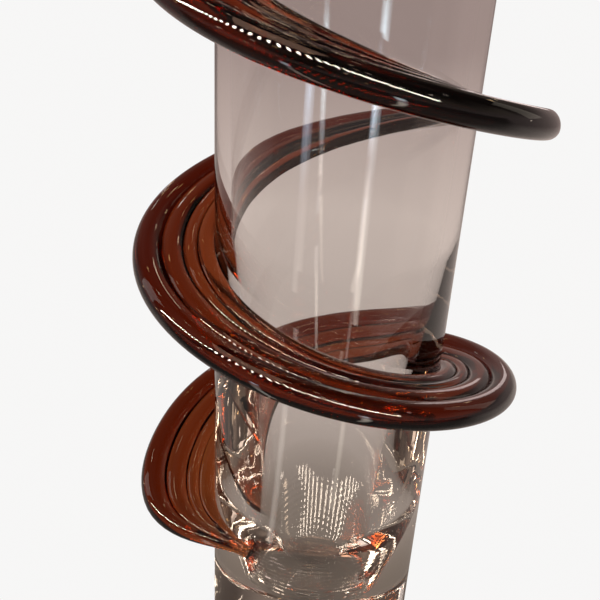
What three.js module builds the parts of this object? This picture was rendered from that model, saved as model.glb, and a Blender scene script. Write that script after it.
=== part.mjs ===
// A tall, thick-walled, clear glass vase with a heavy solid base, and one ribbed amber glass
// ribbon laid edge-on round it as a spiral flange. Millimetres, +Z up. The origin is the centre
// of the flat underside, on the vase's axis.
import * as THREE from "three";
import { LoftGeometry } from "three/addons/geometries/LoftGeometry.js";

// ---- driving dimensions ----
const VASE_HEIGHT = 350;
const FOOT_RADIUS = 39.4; // the vase widens a little towards the rim
const RIM_RADIUS = 43.6;
const FOOT_BEVEL = 2.5; // radius of the rounded edge of the underside
const RIM_WALL = 3.8; // wall thickness at the fire-polished rim
const FLOOR_HEIGHT = 24.8; // top of the solid base, inside

// The cavity narrows as it goes down, in three smooth curves: the slowly thickening wall, the
// bowl at its foot, and the small corner at the floor. Each curve is given by the radius and
// height of its four control points.
const WALL_CURVE = [
  [36, 172],
  [33, 128],
  [26, 95],
  [24, 62],
];
const BOWL_CURVE = [
  [24, 62],
  [22.6, 48],
  [17.5, 38],
  [15.2, 26],
];
const FLOOR_EDGE_CURVE = [
  [15.2, 26],
  [15.1, 25.2],
  [14.3, 24.9],
  [12.6, 24.8],
];

const RIBBON_PITCH = 98; // rise of one turn
const RIBBON_HEIGHT = 142; // height of the outer rib's centre where the ribbon passes the front
const TAIL_TAPER = 0.198; // turns over which the tail near the base closes in to the wall
const TOP_TAPER = 0.3; // the same for the upper end
const TIP_WIDTH = 3.5;
const THICKENING = 0.1; // share by which the ribbon gets thicker with each turn up
const FUSE_GAP = 0.3; // clearance kept between the ribbon's root and the wall

// The ribbon was laid on by hand, so it strays from an even spiral. Turns count from the
// front, downwards. drop is how far the ribbon lies below the even spiral, reach is the radius
// of its outer edge, and lift is how far its root lies above its outer rib.
const HAND_LAID = [
  { turn: -1.72, drop: 0, reach: 68, lift: 4 },
  { turn: -1.05, drop: 2, reach: 68, lift: 3.1 },
  { turn: -0.75, drop: 4, reach: 67, lift: 2.6 },
  { turn: -0.4, drop: 4.5, reach: 69.5, lift: 2.1 },
  { turn: 0, drop: 0.3, reach: 68, lift: 1.5 },
  { turn: 0.25, drop: 0.5, reach: 68.3, lift: 2 },
  { turn: 0.42, drop: 0.9, reach: 69.2, lift: -4 },
  { turn: 0.6, drop: 1.5, reach: 70.5, lift: -2 },
  { turn: 0.78, drop: 6.4, reach: 69.4, lift: 0.3 },
  { turn: 0.904, drop: -1.9, reach: 65, lift: 0 },
];

// The ribbon's ribs, from the wall outwards: share of the width where each one ends, half
// its thickness at the crest, and half the thickness in the groove on its outer side.
const RIBS = [
  { end: 0.22, crest: 2.6, groove: 1.0 },
  { end: 0.38, crest: 2.9, groove: 1.1 },
  { end: 0.66, crest: 3.6, groove: 1.3 },
  { end: 1.0, crest: 4.8, groove: 0 },
];
const TOP_TURN = HAND_LAID.at(0).turn;
const TAIL_TURN = HAND_LAID.at(-1).turn;
const ROOT_HALF_THICKNESS = 1.6;
const UNDERSIDE = 0.85; // the underside's ribs are this much as deep as the upper ones
const THINNEST = 0.3; // share of the thickness left at the ribbon's two tips
const TIP_THINNESS = 1.62; // the higher, the longer a tip stays thin before it widens
const TIP_BLUNTNESS = 3.8; // the higher, the sooner it then reaches its full width

const BODY_SEGMENTS = 72;
const SECTIONS_PER_TURN = 36;
const POINTS_PER_RIB = 4;

// ---- clear body ----

// Points of an arc about (r, z), without its first point.
function arcPoints(r, z, radius, fromDegrees, toDegrees, steps) {
  return Array.from({ length: steps }, (_, i) => {
    const share = (i + 1) / steps;
    const angle = THREE.MathUtils.degToRad(THREE.MathUtils.lerp(fromDegrees, toDegrees, share));
    return new THREE.Vector2(r + radius * Math.cos(angle), z + radius * Math.sin(angle));
  });
}

// Points of one of the cavity's curves, with both ends.
function curvePoints(controls, steps) {
  const corners = controls.map(([r, z]) => new THREE.Vector2(r, z));
  return new THREE.CubicBezierCurve(...corners).getPoints(steps);
}

// Radius of the outside at a height.
function outerRadius(z) {
  return THREE.MathUtils.lerp(FOOT_RADIUS, RIM_RADIUS, z / VASE_HEIGHT);
}

function bodyGeometry() {
  const rimRadius = RIM_WALL / 2;
  const rimHeight = VASE_HEIGHT - rimRadius;
  const profile = [
    new THREE.Vector2(0, 0),
    new THREE.Vector2(FOOT_RADIUS - FOOT_BEVEL, 0),
    ...arcPoints(FOOT_RADIUS - FOOT_BEVEL, FOOT_BEVEL, FOOT_BEVEL, -90, 0, 4),
    new THREE.Vector2(RIM_RADIUS, rimHeight),
    ...arcPoints(RIM_RADIUS - rimRadius, rimHeight, rimRadius, 0, 180, 6),
    ...curvePoints(WALL_CURVE, 10),
    ...curvePoints(BOWL_CURVE, 7).slice(1),
    ...curvePoints(FLOOR_EDGE_CURVE, 2).slice(1),
    new THREE.Vector2(0, FLOOR_HEIGHT),
  ];
  const lathe = new THREE.LatheGeometry(profile, BODY_SEGMENTS);
  return lathe.rotateX(Math.PI / 2); // the lathe turns about Y; the vase stands along Z
}

// ---- amber ribbon ----

// Half the thickness of the full-width ribbon at a share of its width from the wall.
function halfThickness(share) {
  let start = 0;
  let before = ROOT_HALF_THICKNESS;
  for (const rib of RIBS) {
    if (share <= rib.end) {
      const across = (2 * (share - start)) / (rib.end - start) - 1; // -1 to 1 over the rib
      const groove = across < 0 ? before : rib.groove;
      const arch = Math.sqrt(Math.max(1 - across * across, 0)); // ribs are round, like rods
      return groove + (rib.crest - groove) * arch;
    }
    start = rib.end;
    before = rib.groove;
  }
  return 0;
}

// Shares of the width at which a section has points, closer together at each rib's edges.
function sectionShares() {
  const shares = [];
  let start = 0;
  for (const rib of RIBS) {
    for (let i = 0; i < POINTS_PER_RIB; i++) {
      const across = -Math.cos((Math.PI * i) / POINTS_PER_RIB);
      shares.push(start + ((rib.end - start) * (across + 1)) / 2);
    }
    start = rib.end;
  }
  return shares;
}

// How far a tip has opened, 0 at the tip and 1 past its taper.
function opening(turnsFromTip, taper) {
  const along = THREE.MathUtils.clamp(turnsFromTip / taper, 0, 1) ** TIP_THINNESS;
  return 1 - (1 - along) ** TIP_BLUNTNESS;
}

// The ribbon's drop, reach and lift along the spiral, eased from station to station.
function laidAt(turn) {
  const next = Math.max(HAND_LAID.findIndex((station) => station.turn >= turn), 1);
  const [a, b] = [HAND_LAID[next - 1], HAND_LAID[next]];
  const share = THREE.MathUtils.smoothstep(turn, a.turn, b.turn);
  return {
    drop: THREE.MathUtils.lerp(a.drop, b.drop, share),
    reach: THREE.MathUtils.lerp(a.reach, b.reach, share),
    lift: THREE.MathUtils.lerp(a.lift, b.lift, share),
  };
}

// One closed section of the ribbon, in space, at a place along the spiral.
function ribbonSection(turn) {
  const open = Math.min(
    opening(TAIL_TURN - turn, TAIL_TAPER),
    opening(turn - TOP_TURN, TOP_TAPER),
  );
  const { drop, reach, lift } = laidAt(turn);
  const height = RIBBON_HEIGHT - RIBBON_PITCH * turn - drop;
  const root = outerRadius(height) + FUSE_GAP;
  const width = THREE.MathUtils.lerp(TIP_WIDTH, reach - root, open);
  const thickness = THREE.MathUtils.lerp(THINNEST, 1, open) * (1 - THICKENING * turn);
  const angle = 2 * Math.PI * turn - Math.PI / 2; // turn 0 faces -Y
  const at = (share, halfHeight) => {
    const radius = root + width * share;
    const z = height + lift * open * (1 - share) + halfHeight * thickness;
    return new THREE.Vector3(radius * Math.cos(angle), radius * Math.sin(angle), z);
  };
  const shares = sectionShares();
  const upper = shares.map((share) => at(share, halfThickness(share)));
  const under = shares.map((share) => at(share, -UNDERSIDE * halfThickness(share)));
  return [...upper, at(1, 0), ...under.reverse()];
}

function ribbonGeometry() {
  const count = Math.round((TAIL_TURN - TOP_TURN) * SECTIONS_PER_TURN);
  const sections = Array.from({ length: count + 1 }, (_, i) =>
    ribbonSection(THREE.MathUtils.lerp(TOP_TURN, TAIL_TURN, i / count)),
  );
  return new LoftGeometry(sections, { capStart: true, capEnd: true });
}

// ---- the vase ----

function piece(name, geometry, look) {
  const mesh = new THREE.Mesh(geometry, new THREE.MeshStandardMaterial(look));
  mesh.name = name;
  return mesh;
}

const vase = new THREE.Group();
vase.name = "spiral_vase";
vase.add(
  piece("clear_body", bodyGeometry(), {
    color: "#e6e2df",
    roughness: 0.03,
    metalness: 0,
    transparent: true,
    opacity: 0.35,
  }),
  piece("amber_ribbon", ribbonGeometry(), {
    color: "#6a230c",
    roughness: 0.05,
    metalness: 0,
  }),
);

export default vase;
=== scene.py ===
"""A tall clear glass vase with a heavy solid base, and a ribbed amber glass ribbon laid edge-on
round it as a spiral flange, on a pale floor in soft studio light.

Metres, +Z up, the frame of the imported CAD. The clear body and the ribbon are made again here
with finer detail: the ribbon's pull lines, the slight unevenness of blown glass and the faint
rings in its bowl. Each stands for the CAD node of the same piece.
"""

import math

import bpy
import numpy as np
from mathutils import Matrix, Vector, noise


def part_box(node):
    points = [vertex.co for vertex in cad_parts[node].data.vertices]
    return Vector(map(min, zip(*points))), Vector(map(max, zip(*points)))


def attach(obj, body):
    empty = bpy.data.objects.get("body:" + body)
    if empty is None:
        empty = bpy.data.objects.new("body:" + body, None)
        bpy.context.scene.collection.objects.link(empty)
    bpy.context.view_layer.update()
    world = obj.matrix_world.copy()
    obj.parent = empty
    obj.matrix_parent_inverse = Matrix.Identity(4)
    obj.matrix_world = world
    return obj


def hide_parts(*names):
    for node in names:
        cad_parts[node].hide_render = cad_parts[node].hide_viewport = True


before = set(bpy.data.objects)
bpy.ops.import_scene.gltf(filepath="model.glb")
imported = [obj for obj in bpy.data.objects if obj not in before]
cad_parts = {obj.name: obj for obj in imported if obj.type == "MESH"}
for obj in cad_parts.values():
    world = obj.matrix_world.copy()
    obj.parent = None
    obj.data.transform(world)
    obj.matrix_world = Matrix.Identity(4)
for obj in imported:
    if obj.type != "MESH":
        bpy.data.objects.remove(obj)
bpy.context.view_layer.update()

MM = 0.001

# ---- sizes of the clear body, as in the CAD ----
_, BODY_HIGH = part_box("clear_body")
RIM_RADIUS = BODY_HIGH.x
HEIGHT = BODY_HIGH.z
FOOT_RADIUS = 39.4 * MM  # the vase widens a little towards the rim
FOOT_BEVEL = 2.5 * MM
RIM_WALL = 3.8 * MM
WALL_CURVE = ((36, 172), (33, 128), (26, 95), (24, 62))  # radius and height, inside, in mm
BOWL_CURVE = ((24, 62), (22.6, 48), (17.5, 38), (15.2, 26))
FLOOR_EDGE_CURVE = ((15.2, 26), (15.1, 25.2), (14.3, 24.9), (12.6, 24.8))
FLOOR_HEIGHT = 24.8 * MM

# ---- detail of the clear body ----
BODY_SEGMENTS = 288
WALL_STEP = 2.5 * MM  # size of one row of faces on the straight walls
UNDERSIDE_STEP = 4 * MM
INNER_FLOOR_STEP = 1.2 * MM
BEVEL_STEPS = 10
HALF_RIM_STEPS = 8
WALL_CURVE_STEPS = 50
BOWL_CURVE_STEPS = 90
FLOOR_EDGE_STEPS = 8
OUTER_WAVE = 0.03 * MM  # how far the outside strays inwards from an even taper
INNER_WAVE = 0.08 * MM  # the inside strays more: no tool touched it
OUTER_SEED = 3.0
INNER_SEED = 11.0
BROAD_WAVE = (1.3, 0.16)  # how fine the unevenness is round the vase, and how tall, in metres
LONG_WAVE = (3.5, 0.6)
BROAD_SHARE = 0.7
LONG_SHARE = 0.4
CHILL_RINGS = 0.03 * MM  # height of the faint rings that the mould left in the bowl
CHILL_SPACING = 2.1 * MM
CHILL_TOP = 50 * MM
CHILL_FADE = 4 * MM  # height over which the rings fade out at their top
CHILL_PATCH = (3, 0.01)  # as for BROAD_WAVE: the patches in which the rings are stronger
CHILL_LEAST = 0.4  # strength of the rings between those patches
CHILL_FROM = 0.3 * FOOT_RADIUS  # no rings nearer to the axis

# ---- sizes of the ribbon, as in the CAD ----
PITCH = 98 * MM  # rise of one turn
RIBBON_HEIGHT = 142 * MM  # height of the outer rib's centre where the ribbon passes the front
TAIL_TAPER = 0.198  # turns over which the tail near the base closes in to the wall
TOP_TAPER = 0.3  # the same for the upper end
TIP_WIDTH = 3.5 * MM
THICKENING = 0.1  # share by which the ribbon gets thicker with each turn up
FUSED_DEPTH = 0.12 * MM  # how far the ribbon's root sits inside the wall it is fused to
HAND_LAID = np.array(
    [  # turn from the front, drop below the even spiral, radius of the edge, lift of the root
        (-1.72, 0.0, 68.0, 4.0),
        (-1.05, 2.0, 68.0, 3.1),
        (-0.75, 4.0, 67.0, 2.6),
        (-0.40, 4.5, 69.5, 2.1),
        (0.00, 0.3, 68.0, 1.5),
        (0.25, 0.5, 68.3, 2.0),
        (0.42, 0.9, 69.2, -4.0),
        (0.60, 1.5, 70.5, -2.0),
        (0.78, 6.4, 69.4, 0.3),
        (0.904, -1.9, 65.0, 0.0),
    ]
)
TOP_TURN, TAIL_TURN = HAND_LAID[0, 0], HAND_LAID[-1, 0]
RIBS = (  # share of the width where each ends, half thickness at its crest and outer groove
    (0.22, 2.6, 1.0),
    (0.38, 2.9, 1.1),
    (0.66, 3.6, 1.3),
    (1.00, 4.8, 0.0),
)
ROOT_HALF_THICKNESS = 1.6
UNDERSIDE = 0.85  # the underside's ribs are this much as deep as the upper ones
THINNEST = 0.3  # share of the thickness left at the ribbon's two tips
TIP_THINNESS = 1.62  # the higher, the longer a tip stays thin before it widens
TIP_BLUNTNESS = 3.8  # the higher, the sooner it then reaches its full width

# ---- detail of the ribbon ----
SECTIONS_PER_TURN = 120
POINTS_PER_RIB = 26
PULL_LINE_HEIGHT = 0.045 * MM  # the fine lines that pulling the hot ribbon left along it
PULL_LINES = ((1.15, 1.0), (1.9, 0.9), (3.1, 0.8))  # spacing in mm and share of the height
PULL_LINE_MARGIN = 0.05  # share of the width, at either edge, over which the lines fade out
UPPER_SEED = 1.0
UNDER_SEED = 2.0
WANDER = 1.2  # how far the lines wander sideways, in spacings
WANDER_PACE = 0.9  # how fast they do, per turn
WANDER_APART = 5.0  # keeps the sets of lines from wandering together
SWELL_LEAST = 0.5  # strength of the lines where they are faintest
SWELL_PACE = 1.7  # how fast they fade in and out, per turn
SWELL_SLICE = 9.0  # keeps that apart from the wandering
LINES_APART = 0.37  # shift of each set of lines against the one before, in spacings


def mesh_piece(name, points, faces, uvs=None):
    """A smooth-shaded mesh object from points and faces, with an optional UV per point."""
    mesh = bpy.data.meshes.new(name)
    mesh.from_pydata([tuple(p) for p in points], [], faces)
    mesh.polygons.foreach_set("use_smooth", np.ones(len(mesh.polygons), bool))
    if uvs is not None:
        layer = mesh.uv_layers.new(name="UVMap")
        corner = np.zeros(len(mesh.loops), np.int32)
        mesh.loops.foreach_get("vertex_index", corner)
        layer.data.foreach_set("uv", uvs[corner].astype(np.float32).ravel())
    mesh.update()
    piece = bpy.data.objects.new(name, mesh)
    bpy.context.scene.collection.objects.link(piece)
    return piece


# ---- clear body ----


def arc(r, z, radius, start, end, steps):
    """Points of an arc about (r, z), without its first point, angles in degrees."""
    angles = np.radians(np.linspace(start, end, steps + 1)[1:])
    return np.column_stack((r + radius * np.cos(angles), z + radius * np.sin(angles)))


def line(a, b, step):
    """Points from a to b about one step apart, without the first."""
    a, b = np.array(a), np.array(b)
    count = max(int(math.ceil(np.linalg.norm(b - a) / step)), 1)
    return a + (b - a) * np.linspace(0, 1, count + 1)[1:, None]


def bezier(controls, steps):
    """Points of a cubic curve, without its first. Its control points are in millimetres."""
    a, b, c, d = np.array(controls, float) * MM
    t = np.linspace(0, 1, steps + 1)[1:, None]
    return a * (1 - t) ** 3 + 3 * b * t * (1 - t) ** 2 + 3 * c * t**2 * (1 - t) + d * t**3


def body_profile():
    """Radius and height of the outside, from the middle of the underside to the top of the rim,
    and of the inside, from there to the middle of the floor."""
    rim = RIM_WALL / 2
    rim_height = HEIGHT - rim
    rim_middle = RIM_RADIUS - rim
    foot = FOOT_RADIUS - FOOT_BEVEL
    outside = (
        np.array([(0.0, 0.0)]),
        line((0, 0), (foot, 0), UNDERSIDE_STEP),
        arc(foot, FOOT_BEVEL, FOOT_BEVEL, -90, 0, BEVEL_STEPS),
        line((FOOT_RADIUS, FOOT_BEVEL), (RIM_RADIUS, rim_height), WALL_STEP),
        arc(rim_middle, rim_height, rim, 0, 90, HALF_RIM_STEPS),
    )
    wall_top = (RIM_RADIUS - RIM_WALL, rim_height)
    floor_edge = bezier(FLOOR_EDGE_CURVE, FLOOR_EDGE_STEPS)
    inside = (
        arc(rim_middle, rim_height, rim, 90, 180, HALF_RIM_STEPS),
        line(wall_top, np.array(WALL_CURVE[0]) * MM, WALL_STEP),
        bezier(WALL_CURVE, WALL_CURVE_STEPS),
        bezier(BOWL_CURVE, BOWL_CURVE_STEPS),
        floor_edge,
        line(floor_edge[-1], (0, FLOOR_HEIGHT), INNER_FLOOR_STEP),
    )
    return np.vstack(outside), np.vstack(inside)


def outer_radius(z):
    """Radius of the outside at a height."""
    return FOOT_RADIUS + (RIM_RADIUS - FOOT_RADIUS) * z / HEIGHT


def noise_round(angle, height, size, shift_x=0.0, shift_y=0.0):
    """Smooth noise on the vase's surface, -1 to 1. size is as for BROAD_WAVE."""
    fine, tall = size
    x, y = fine * math.cos(angle) + shift_x, fine * math.sin(angle) + shift_y
    return noise.noise(Vector((x, y, height / tall)))


def wave(angle, height, seed):
    """Slow unevenness of blown glass, -1 to 1: wide round the vase, long along it."""
    broad = noise_round(angle, height, BROAD_WAVE, shift_x=seed)
    lines = noise_round(angle, height, LONG_WAVE, shift_y=seed)
    return BROAD_SHARE * broad + LONG_SHARE * lines


def chill(angle, height):
    """The faint rings in the bowl: they fade in and out round the vase."""
    fade = min((CHILL_TOP - height) / CHILL_FADE, 1)
    patch = CHILL_LEAST + abs(noise_round(angle, height, CHILL_PATCH))
    return CHILL_RINGS * fade * patch * math.sin(2 * math.pi * height / CHILL_SPACING)


def clear_body():
    """The profile turned round the axis, with the waves of blown glass. The outside strays only
    inwards, so it stays within the CAD."""
    outside, inside = body_profile()
    profile = np.vstack((outside, inside))
    rings = profile[1:-1]
    points = [(0, 0, profile[0, 1])]
    for k, (r, z) in enumerate(rings, start=1):
        still = min(r / FOOT_RADIUS, 1) ** 2  # no waves where the rings close in on the axis
        for i in range(BODY_SEGMENTS):
            angle = 2 * math.pi * i / BODY_SEGMENTS
            if k < len(outside):
                radius = r - OUTER_WAVE * still * abs(wave(angle, z, OUTER_SEED))
            else:
                radius = r + INNER_WAVE * still * wave(angle, z, INNER_SEED)
                if z < CHILL_TOP and r > CHILL_FROM:
                    radius += chill(angle, z)
            points.append((radius * math.cos(angle), radius * math.sin(angle), z))
    points.append((0, 0, profile[-1, 1]))
    last = len(points) - 1
    top = 1 + (len(rings) - 1) * BODY_SEGMENTS
    faces = []
    for i in range(BODY_SEGMENTS):
        j = (i + 1) % BODY_SEGMENTS
        faces.append((0, 1 + j, 1 + i))
        for a in range(1, top, BODY_SEGMENTS):
            b = a + BODY_SEGMENTS
            faces.append((a + i, a + j, b + j, b + i))
        faces.append((top + i, top + j, last))
    return mesh_piece("clear_vase_body", points, faces)


# ---- ribbon ----


def half_thickness(share):
    """Half the thickness of the full-width ribbon at shares of its width from the wall."""
    out = np.zeros_like(share)
    start, before = 0.0, ROOT_HALF_THICKNESS
    for end, crest, groove in RIBS:
        on = (share >= start) & (share <= end)
        across = 2 * (share - start) / (end - start) - 1
        edge = np.where(across < 0, before, groove)
        arch = np.sqrt(np.clip(1 - across**2, 0, None))  # ribs are round, like rods
        out = np.where(on, edge + (crest - edge) * arch, out)
        start, before = end, groove
    return out * MM


def section_shares():
    """Shares of the width at which a section has points, closer at each rib's edges."""
    shares, start = [], 0.0
    for end, _, _ in RIBS:
        across = -np.cos(math.pi * np.arange(POINTS_PER_RIB) / POINTS_PER_RIB)
        shares.append(start + (end - start) * (across + 1) / 2)
        start = end
    return np.concatenate(shares)


def opening(turns_from_tip, taper):
    """How far a tip has opened: it stays thin at first, then widens fast."""
    along = np.clip(turns_from_tip / taper, 0, 1) ** TIP_THINNESS
    return 1 - (1 - along) ** TIP_BLUNTNESS


def laid_at(turn):
    """The ribbon's drop, reach and lift along the spiral, eased between stations."""
    i = int(np.clip(np.searchsorted(HAND_LAID[:, 0], turn), 1, len(HAND_LAID) - 1))
    a, b = HAND_LAID[i - 1], HAND_LAID[i]
    x = np.clip((turn - a[0]) / (b[0] - a[0]), 0, 1)
    return (a + (b - a) * x * x * (3 - 2 * x))[1:] * MM


def pull_lines(share, width, turn, seed):
    """Height of the fine lines along the ribbon: they wander slowly and fade in and out."""
    across = share * width / MM
    total = np.zeros_like(share)
    for k, (spacing, strength) in enumerate(PULL_LINES):
        wander = noise.noise(Vector((turn * WANDER_PACE, seed + WANDER_APART * k, 0)))
        patch = noise.noise(Vector((turn * SWELL_PACE, seed, SWELL_SLICE + k)))
        phase = across / spacing + WANDER * wander + LINES_APART * k * seed
        total += strength * (SWELL_LEAST + abs(patch)) * np.sin(2 * math.pi * phase)
    return PULL_LINE_HEIGHT * total / len(PULL_LINES)


def ribbon_section(turn):
    """Points of one closed section of the ribbon, in space, at a place along the spiral."""
    opened = min(opening(TAIL_TURN - turn, TAIL_TAPER), opening(turn - TOP_TURN, TOP_TAPER))
    drop, reach, lift = laid_at(turn)
    height = RIBBON_HEIGHT - PITCH * turn - drop
    root = outer_radius(height) - FUSED_DEPTH
    width = TIP_WIDTH + (reach - root - TIP_WIDTH) * opened
    thickness = (THINNEST + (1 - THINNEST) * opened) * (1 - THICKENING * turn)
    angle = 2 * math.pi * turn - math.pi / 2  # turn 0 faces -Y
    share = section_shares()
    half = half_thickness(share) * thickness
    calm = np.clip(np.minimum(share, 1 - share) / PULL_LINE_MARGIN, 0, 1) * opened
    up = half + calm * pull_lines(share, width, turn, UPPER_SEED)
    down = UNDERSIDE * half + calm * pull_lines(share, width, turn, UNDER_SEED)
    middle = height + lift * opened * (1 - share)
    radius = root + width * share
    r = np.concatenate((radius, [root + width], radius[::-1]))
    z = np.concatenate((middle + up, [height], (middle - down)[::-1]))
    return np.column_stack((r * math.cos(angle), r * math.sin(angle), z))


def amber_ribbon():
    """The sections joined along the spiral, with a flat cap at each tip."""
    count = int(round((TAIL_TURN - TOP_TURN) * SECTIONS_PER_TURN))
    turns = np.linspace(TOP_TURN, TAIL_TURN, count + 1)
    sections = np.array([ribbon_section(t) for t in turns])
    around = sections.shape[1]
    ring = np.arange(around)
    following = (ring + 1) % around
    faces = []
    for s in range(count):
        a, b = s * around, (s + 1) * around
        faces += np.column_stack((a + ring, a + following, b + following, b + ring)).tolist()
    faces.append(list(range(around))[::-1])
    faces.append(list(range(count * around, (count + 1) * around)))
    length = 2 * math.pi * RIM_RADIUS * (turns - TOP_TURN)
    uvs = np.column_stack((np.repeat(length, around), np.tile(ring / around, count + 1)))
    return mesh_piece("amber_spiral_ribbon", sections.reshape(-1, 3), faces, uvs)


# ---- shader nodes ----


def empty_tree(owner):
    """The cleared node tree of a material or world."""
    owner.use_nodes = True
    owner.node_tree.nodes.clear()
    return owner.node_tree


def add_node(tree, kind, inputs, **settings):
    """A new shader node. Its inputs, by name or number, are set to values or linked to outputs."""
    node = tree.nodes.new("ShaderNode" + kind)
    for setting, value in settings.items():
        setattr(node, setting, value)
    for socket, value in inputs.items():
        if isinstance(value, bpy.types.NodeSocket):
            tree.links.new(value, node.inputs[socket])
        else:
            node.inputs[socket].default_value = value
    return node


def add_ramp(tree, stops, factor):
    """A colour ramp through stops of (position, colour). Gives its colour output."""
    node = add_node(tree, "ValToRGB", {"Fac": factor})
    elements = node.color_ramp.elements
    for element, (position, colour) in ((elements[0], stops[0]), (elements[1], stops[-1])):
        element.position = position
        element.color = (*colour, 1)
    for position, colour in stops[1:-1]:
        elements.new(position).color = (*colour, 1)
    return node.outputs["Color"]


def seen_and_reflected(tree, seen, reflected):
    """Mixes two shaders: the first is what the camera sees, the second what glass shows."""
    path = add_node(tree, "LightPath", {})
    inputs = {0: path.outputs["Is Camera Ray"], 1: reflected, 2: seen}
    return add_node(tree, "MixShader", inputs).outputs[0]


# ---- materials ----

PATCH_SCALE = 38  # size of the duller patches on the glass: the higher, the smaller
PATCH_DETAIL = 4
PATCH_RANGE = (0.35, 0.75)  # noise at which the glass is least and most rough
RIPPLE_DETAIL = 2  # of the faint unevenness of the surface


def glass(name, ior, tint, colour, density, roughness, ripple):
    """Clear or tinted glass: light is lost by its depth in the glass, and the surface has a
    faint unevenness. colour and density are those of the loss in depth, roughness is the least
    and most, and ripple is (scale, stretch, strength, distance)."""
    material = bpy.data.materials.new(name)
    tree = empty_tree(material)
    where = add_node(tree, "TexCoord", {}).outputs["Object"]

    inputs = {"Scale": PATCH_SCALE, "Detail": PATCH_DETAIL, "Vector": where}
    patches = add_node(tree, "TexNoise", inputs)
    inputs = {
        "Value": patches.outputs["Fac"],
        "From Min": PATCH_RANGE[0],
        "From Max": PATCH_RANGE[1],
        "To Min": roughness[0],
        "To Max": roughness[1],
    }
    dullness = add_node(tree, "MapRange", inputs)

    scale, stretch, strength, distance = ripple
    squeezed = add_node(tree, "Mapping", {"Vector": where, "Scale": stretch})
    inputs = {"Scale": scale, "Detail": RIPPLE_DETAIL, "Vector": squeezed.outputs["Vector"]}
    ripples = add_node(tree, "TexNoise", inputs)
    inputs = {"Strength": strength, "Distance": distance, "Height": ripples.outputs["Fac"]}
    uneven = add_node(tree, "Bump", inputs)

    inputs = {
        "Base Color": (*tint, 1),
        "Transmission Weight": 1,
        "IOR": ior,
        "Roughness": dullness.outputs["Result"],
        "Normal": uneven.outputs["Normal"],
    }
    surface = add_node(tree, "BsdfPrincipled", inputs)
    depth = add_node(tree, "VolumeAbsorption", {"Color": (*colour, 1), "Density": density})
    inputs = {"Surface": surface.outputs[0], "Volume": depth.outputs[0]}
    add_node(tree, "OutputMaterial", inputs)
    return material


body = clear_body()
body.data.materials.append(
    glass(
        "clear_crystal",
        ior=1.5,
        tint=(1, 1, 1),
        colour=(0.995, 0.985, 0.975),
        density=60,
        roughness=(0.0, 0.012),
        ripple=(60, (1, 1, 0.15), 0.12, 0.4 * MM),
    )
)
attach(body, "root")
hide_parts("clear_body")

ribbon = amber_ribbon()
ribbon.data.materials.append(
    glass(
        "amber_glass",
        ior=1.52,
        tint=(0.74, 0.36, 0.13),
        colour=(0.535, 0.14, 0.033),
        density=400,
        roughness=(0.0, 0.03),
        ripple=(90, (1, 1, 1), 0.1, 0.3 * MM),
    )
)
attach(ribbon, "root")
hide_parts("amber_ribbon")

# ---- camera, in the vase's frame ----

CAMERA_AT = Vector((-0.01104, -0.30198, 0.29878))
LOOK_DOWN = math.radians(27.26)
ROLL = math.radians(3.39)
LENS = 57.6
SENSOR = 36
CLIP_START = 0.01

camera_data = bpy.data.cameras.new("studio_camera")
camera_data.lens = LENS
camera_data.sensor_width = SENSOR
camera_data.clip_start = CLIP_START
camera = bpy.data.objects.new("studio_camera", camera_data)
bpy.context.scene.collection.objects.link(camera)
aim = Matrix.Rotation(math.pi / 2 - LOOK_DOWN, 4, "X") @ Matrix.Rotation(ROLL, 4, "Z")
camera.matrix_world = Matrix.Translation(CAMERA_AT) @ aim
bpy.context.scene.camera = camera

# ---- floor and room ----

SEEN_WHITE = (0.93, 0.925, 0.92, 1)  # what the camera sees of the floor and of the room

FLOOR_HALF_SIZE = 12.0
FLOOR_LEVEL = -0.3 * MM  # leaves a little air under the glass
# Painted light: in the glass the floor glows as a warm pool of light round the vase, with a
# painted shadow close to it.
FLOOR_PAINTED_LIGHT = (  # distance from the vase in metres, and what the glass shows there
    (0.00, (0.07, 0.055, 0.045)),
    (0.05, (0.22, 0.18, 0.15)),
    (0.11, (0.48, 0.405, 0.365)),
    (0.40, (0.60, 0.50, 0.45)),
    (0.65, (0.48, 0.385, 0.35)),
    (0.99, (0.34, 0.26, 0.24)),
)
PAINTED_SHADE_START = (-0.12, 0.35)  # place along Y, and strength: painted shade, the floor in the glass darker on the camera's side
PAINTED_SHADE_END = (0.06, 1.0)

ROOM_SCALE = 1.7  # of the patches of tone in the room: the higher, the smaller
ROOM_DETAIL = 1.5
ROOM_TONES = (  # noise, and the tone there
    (0.40, (0.050, 0.036, 0.030)),
    (0.55, (0.13, 0.10, 0.085)),
    (0.72, (0.26, 0.205, 0.17)),
)
HORIZON = (0.02, 0.30)  # height in the room over which the far floor's tone gives way
FAR_LAMP_SCALE = 5  # the higher, the more lamps there are
FAR_LAMP_EDGE = (0.13, 0.11)  # distance from its middle at which a lamp starts and is full
FAR_LAMP_STRENGTH = 5.0
WARM_LAMP = (1.0, 0.62, 0.25, 1)
WHITE_LAMP = (1.0, 0.95, 0.90, 1)


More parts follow.
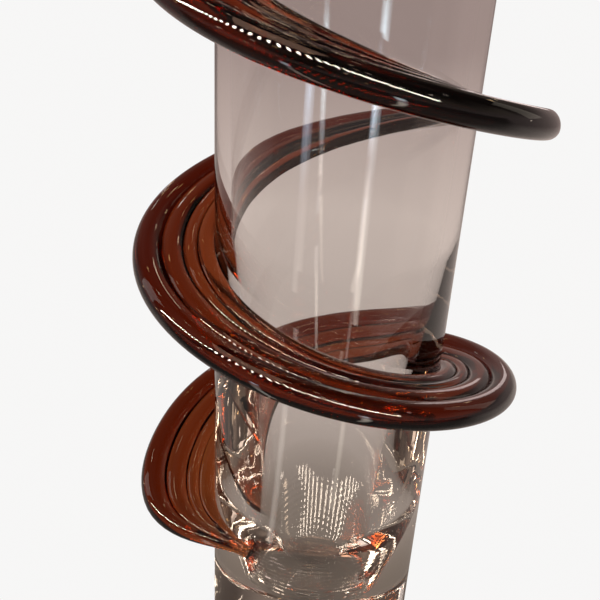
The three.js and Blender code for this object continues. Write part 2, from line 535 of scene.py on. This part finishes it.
def pale_floor():
    """The floor: pale to the camera, and in the glass a painted warm pool of light round the
    vase, with a painted shadow close to it and painted shade on the camera's side.
    """
    half, low = FLOOR_HALF_SIZE, FLOOR_LEVEL
    corners = [(-half, -half, low), (half, -half, low), (half, half, low), (-half, half, low)]
    floor = mesh_piece("floor", corners, [(0, 1, 2, 3)])
    material = bpy.data.materials.new("pale_floor")
    tree = empty_tree(material)
    where = add_node(tree, "TexCoord", {}).outputs["Object"]
    far = add_node(tree, "VectorMath", {0: where}, operation="LENGTH")
    parts = add_node(tree, "SeparateXYZ", {0: where})
    inputs = {
        "Value": parts.outputs["Y"],
        "From Min": PAINTED_SHADE_START[0],
        "From Max": PAINTED_SHADE_END[0],
        "To Min": PAINTED_SHADE_START[1],
        "To Max": PAINTED_SHADE_END[1],
    }
    # Painted shade: the floor's glow is weaker on the camera's side.
    painted_shade = add_node(tree, "MapRange", inputs, interpolation_type="SMOOTHSTEP")
    inputs = {
        "Color": add_ramp(tree, FLOOR_PAINTED_LIGHT, far.outputs["Value"]),
        "Strength": painted_shade.outputs["Result"],
    }
    pool = add_node(tree, "Emission", inputs)
    white = add_node(tree, "Emission", {"Color": SEEN_WHITE})
    mixed = seen_and_reflected(tree, white.outputs[0], pool.outputs[0])
    add_node(tree, "OutputMaterial", {"Surface": mixed})
    floor.data.materials.append(material)


def room_tones(tree, where):
    """A soft warm grey room, which near the horizon takes the tone of the far floor, so that no
    line shows between."""
    inputs = {"Scale": ROOM_SCALE, "Detail": ROOM_DETAIL, "Vector": where}
    patches = add_node(tree, "TexNoise", inputs)
    parts = add_node(tree, "SeparateXYZ", {0: where})
    level = add_node(tree, "Math", {0: parts.outputs["Z"]}, operation="ABSOLUTE")
    inputs = {
        "Value": level.outputs["Value"],
        "From Min": HORIZON[0],
        "From Max": HORIZON[1],
    }
    away = add_node(tree, "MapRange", inputs, interpolation_type="SMOOTHSTEP")
    inputs = {
        "A": (*FLOOR_PAINTED_LIGHT[-1][1], 1),
        "B": add_ramp(tree, ROOM_TONES, patches.outputs["Fac"]),
        "Factor": away.outputs["Result"],
    }
    blend = add_node(tree, "Mix", inputs, data_type="RGBA")
    return add_node(tree, "Background", {"Color": blend.outputs["Result"]})


def far_lamps(tree, where):
    """Small far lamps, out of focus: round spots scattered over the room, some warm."""
    cells = add_node(tree, "TexVoronoi", {"Scale": FAR_LAMP_SCALE, "Vector": where})
    inputs = {
        "Value": cells.outputs["Distance"],
        "From Min": FAR_LAMP_EDGE[0],
        "From Max": FAR_LAMP_EDGE[1],
    }
    spots = add_node(tree, "MapRange", inputs)
    inputs = {0: spots.outputs["Result"], 1: FAR_LAMP_STRENGTH}
    strength = add_node(tree, "Math", inputs, operation="MULTIPLY")
    hue = add_node(tree, "SeparateColor", {"Color": cells.outputs["Color"]})
    inputs = {"A": WARM_LAMP, "B": WHITE_LAMP, "Factor": hue.outputs["Red"]}
    warmth = add_node(tree, "Mix", inputs, data_type="RGBA")
    inputs = {"Color": warmth.outputs["Result"], "Strength": strength.outputs["Value"]}
    return add_node(tree, "Background", inputs)


def room():
    """What surrounds the vase: white to the camera, and a soft warm grey room in the glass."""
    world = bpy.data.worlds.new("studio")
    bpy.context.scene.world = world
    tree = empty_tree(world)
    where = add_node(tree, "TexCoord", {}).outputs["Generated"]
    inputs = {0: room_tones(tree, where).outputs[0], 1: far_lamps(tree, where).outputs[0]}
    both = add_node(tree, "AddShader", inputs)
    white = add_node(tree, "Background", {"Color": SEEN_WHITE})
    mixed = seen_and_reflected(tree, white.outputs[0], both.outputs[0])
    add_node(tree, "OutputWorld", {"Surface": mixed})


# ---- lamps ----

LIT_POINT = Vector((0, 0, 0.15))  # the middle of the vase as pictured, where all lamps aim

# The row of lamps: its bearing is left of the camera, seen from the vase.
LAMP_BEARING = math.radians(-19)
LAMP_RISE = math.radians(48)
LAMP_DISTANCE = 0.6
LAMPS_EACH_SIDE = 31
LAMP_SPACING = 0.040
LAMP_SIZE = (0.013, 0.08)
LAMP_POWER = 0.19
LAMP_COLOUR = (1.0, 0.90, 0.78)

# Soft boxes one metre away: bearing (0 is away from the camera, 90 to its right) and rise in
# degrees, size, radiance and colour.
SOFTBOXES = (
    ("back_right_softbox", 20, 9, (0.12, 0.35), 1.5, (1.0, 0.84, 0.80)),
    ("right_softbox", 62, 20, (0.30, 0.45), 0.4, (1.0, 0.88, 0.74)),
    ("left_softbox", -75, 25, (0.25, 0.6), 1.0, (1.0, 0.90, 0.86)),
    ("overhead_softbox", -150, 72, (0.5, 0.5), 1.8, (1.0, 0.60, 0.42)),
)


def area_light(name, at, size, power, colour):
    """A rectangular lamp that aims at the vase and isn't seen by the camera."""
    data = bpy.data.lights.new(name, "AREA")
    data.shape = "RECTANGLE"
    data.size, data.size_y = size
    data.energy = power
    data.color = colour
    light = bpy.data.objects.new(name, data)
    bpy.context.scene.collection.objects.link(light)
    light.location = at
    light.rotation_euler = (LIT_POINT - at).to_track_quat("-Z", "Y").to_euler()
    light.visible_camera = False


def lamp_row():
    """A straight row of small lamps above and behind the camera, for the beaded highlights."""
    away = Vector((math.sin(LAMP_BEARING), -math.cos(LAMP_BEARING), 0))
    along = Vector((math.cos(LAMP_BEARING), math.sin(LAMP_BEARING), 0))
    above = Vector((0, 0, LAMP_DISTANCE * math.sin(LAMP_RISE)))
    nearest = LIT_POINT + away * LAMP_DISTANCE * math.cos(LAMP_RISE) + above
    for i in range(-LAMPS_EACH_SIDE, LAMPS_EACH_SIDE + 1):
        at = nearest + along * (LAMP_SPACING * i)
        area_light(f"lamp_{i + LAMPS_EACH_SIDE}", at, LAMP_SIZE, LAMP_POWER, LAMP_COLOUR)


def softboxes():
    """The large soft lamps, each with the power that gives it its radiance."""
    for name, bearing, rise, size, radiance, colour in SOFTBOXES:
        a, e = math.radians(bearing), math.radians(rise)
        away = Vector((math.sin(a) * math.cos(e), math.cos(a) * math.cos(e), math.sin(e)))
        power = radiance * math.pi * size[0] * size[1]
        area_light(name, LIT_POINT + away, size, power, colour)


# ---- painted streaks of light on the floor ----

# Painted light: glowing strips on the floor, seen only in the glass, for the upright streaks in
# its clear wall. Each has its near and far end, its widths there, and its colours by share of
# its length.
FLOOR_STREAKS = (
    (
        "right_painted_streak",
        ((0.030, -0.132), (0.650, -1.420)),
        (0.012, 0.20),
        (
            (0.0, (2.0, 1.8, 1.5)),
            (0.15, (5.5, 5.0, 4.3)),
            (0.30, (1.6, 1.6, 1.7)),
            (0.62, (8, 10, 11)),
            (1.0, (0, 0, 0)),
        ),
    ),
    (
        "front_painted_streak",
        ((-0.070, -0.078), (-0.600, -0.930)),
        (0.014, 0.12),
        (
            (0.0, (2.6, 2.4, 2.2)),
            (0.20, (2.0, 1.8, 1.6)),
            (0.40, (0.9, 0.8, 0.8)),
            (0.70, (5.0, 6.4, 8)),
            (1.0, (0, 0, 0)),
        ),
    ),
)
STREAK_HEIGHT = 1 * MM  # above the vase's underside
STREAK_STEPS = 24


def floor_streak(name, ends, widths, colours):
    """A painted strip of light on the floor, seen only in the glass. It has soft edges, and widths
    and colours that change from its near end to its far end."""
    near, far = (Vector((x, y, 0)) for x, y in ends)
    across = (far - near).normalized().cross(Vector((0, 0, 1)))
    points, uvs = [], []
    for i in range(STREAK_STEPS + 1):
        share = i / STREAK_STEPS
        half = across * (widths[0] + (widths[1] - widths[0]) * share) / 2
        middle = near.lerp(far, share) + Vector((0, 0, STREAK_HEIGHT))
        points += [middle - half, middle + half]
        uvs += [(0.0, share), (1.0, share)]
    faces = [(2 * i, 2 * i + 1, 2 * i + 3, 2 * i + 2) for i in range(STREAK_STEPS)]
    strip = mesh_piece(name, points, faces, np.array(uvs))
    material = bpy.data.materials.new(name)
    tree = empty_tree(material)
    where = add_node(tree, "TexCoord", {}).outputs["UV"]
    parts = add_node(tree, "SeparateXYZ", {0: where})
    # Brightness across the strip is half a sine wave: none at its edges, full in its middle.
    phase = add_node(tree, "Math", {0: parts.outputs["X"], 1: math.pi}, operation="MULTIPLY")
    soft = add_node(tree, "Math", {0: phase.outputs[0]}, operation="SINE")
    inputs = {
        "Color": add_ramp(tree, colours, parts.outputs["Y"]),
        "Strength": soft.outputs[0],
    }
    glow = add_node(tree, "Emission", inputs).outputs[0]
    clear = add_node(tree, "BsdfTransparent", {}).outputs[0]
    both = add_node(tree, "AddShader", {0: clear, 1: glow}).outputs[0]
    mixed = seen_and_reflected(tree, clear, both)
    add_node(tree, "OutputMaterial", {"Surface": mixed})
    strip.data.materials.append(material)


pale_floor()
room()
lamp_row()
softboxes()
for streak in FLOOR_STREAKS:
    floor_streak(*streak)

# ---- rendering ----

scene = bpy.context.scene
scene.view_settings.view_transform = "Standard"
scene.view_settings.look = "None"
scene.cycles.use_denoising = True
scene.cycles.max_bounces = 32
scene.cycles.transmission_bounces = 28
scene.cycles.glossy_bounces = 12
scene.cycles.diffuse_bounces = 3
scene.cycles.caustics_reflective = False
scene.cycles.caustics_refractive = False
